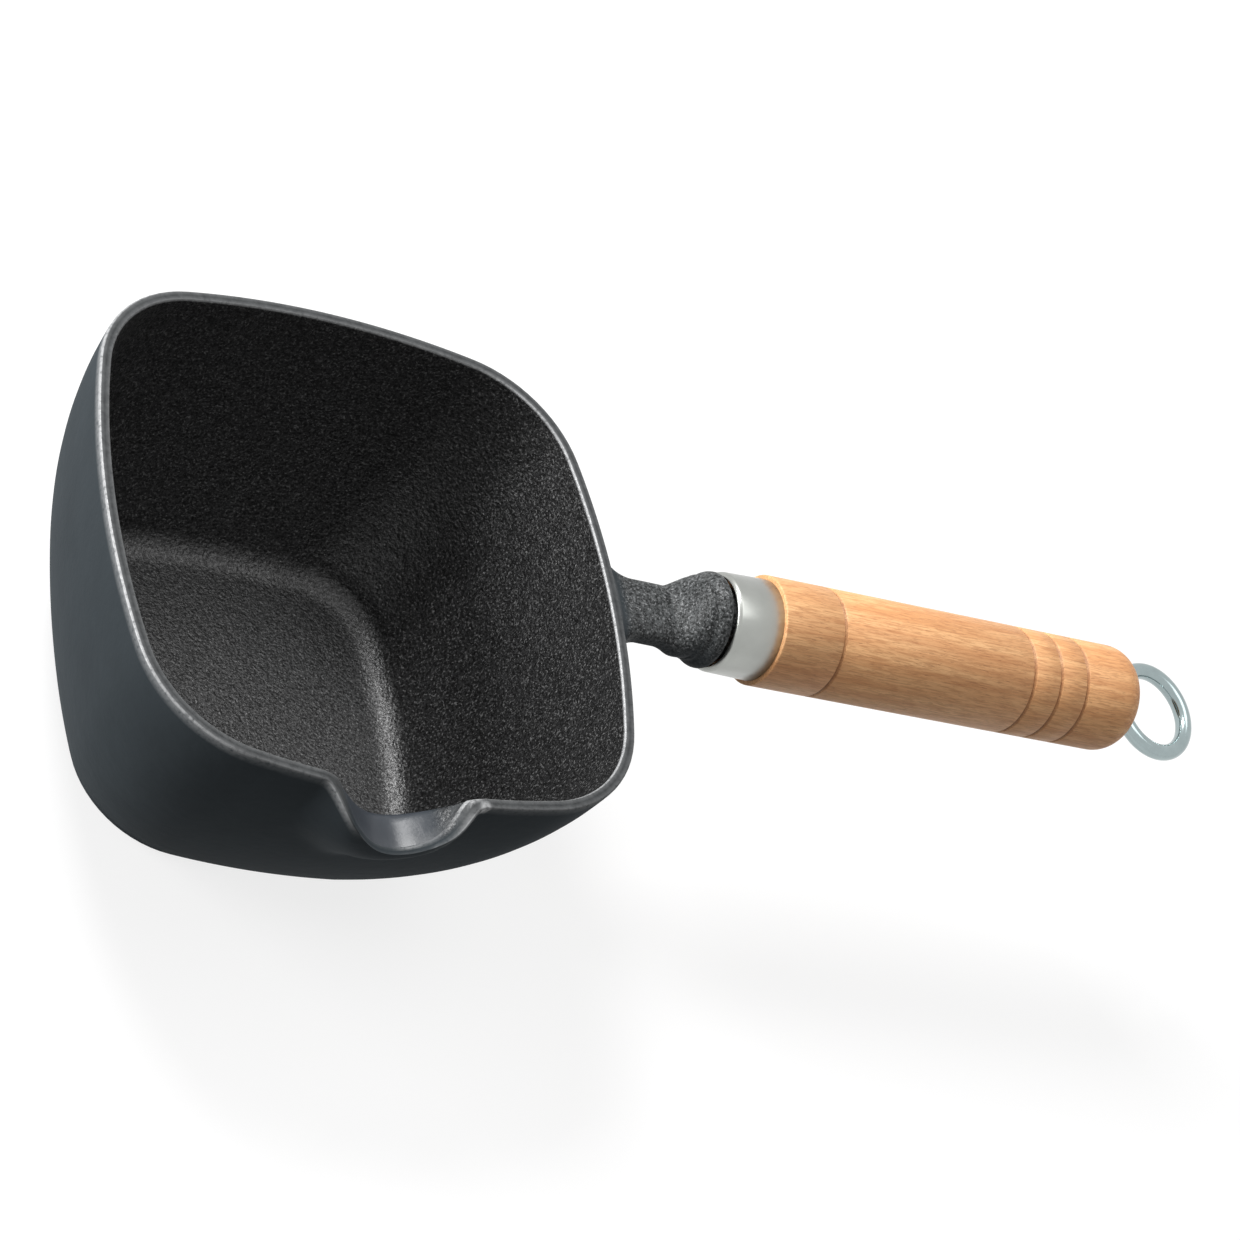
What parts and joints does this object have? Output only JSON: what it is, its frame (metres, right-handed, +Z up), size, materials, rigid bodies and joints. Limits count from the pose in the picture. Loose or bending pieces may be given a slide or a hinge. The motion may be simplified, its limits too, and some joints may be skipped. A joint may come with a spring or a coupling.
{
  "type": "tamagoyaki pan",
  "caption": "Deep square cast-iron tamagoyaki pan with bulging sides, a side pouring lip, a steel ferrule and a turned wooden handle ending in a screwed hanging eye.",
  "frame": {"origin": "middle of the flat base, on its underside", "axes": "+Z up out of the pan, +X along the handle, the pouring lip is on the -Y side"},
  "size_m": [0.3502, 0.1584, 0.0944],
  "materials": {
    "cast_iron": "satin, sandy inside",
    "steel_sleeve": "satin",
    "beech": "satin",
    "rod_steel": "plain",
    "plated_washer": "bright",
    "plated_eye": "bright"
  },
  "bodies": {
    "pan": {"pan_casting": "cast_iron", "ferrule": "steel_sleeve", "wood_handle": "beech"},
    "washer": {"end_washer": "plated_washer"},
    "eye": {"tie_rod": "rod_steel", "hanging_eye": "plated_eye"}
  },
  "joints": [
    {"name": "screw_travel", "type": "slide", "parent": "pan", "child": "washer", "axis": [1, 0, 0.0096], "range_m": [0, 0.012]},
    {"name": "eye_turn", "type": "hinge", "parent": "washer", "child": "eye", "pos_m": [0.23609, 0, 0.07926], "axis": [1, 0, 0.0096], "range_deg": [0, 4321]}
  ],
  "couplings": [
    {"joint": "eye_turn", "follows": "screw_travel", "rad_per_m": 6283.2}
  ]
}
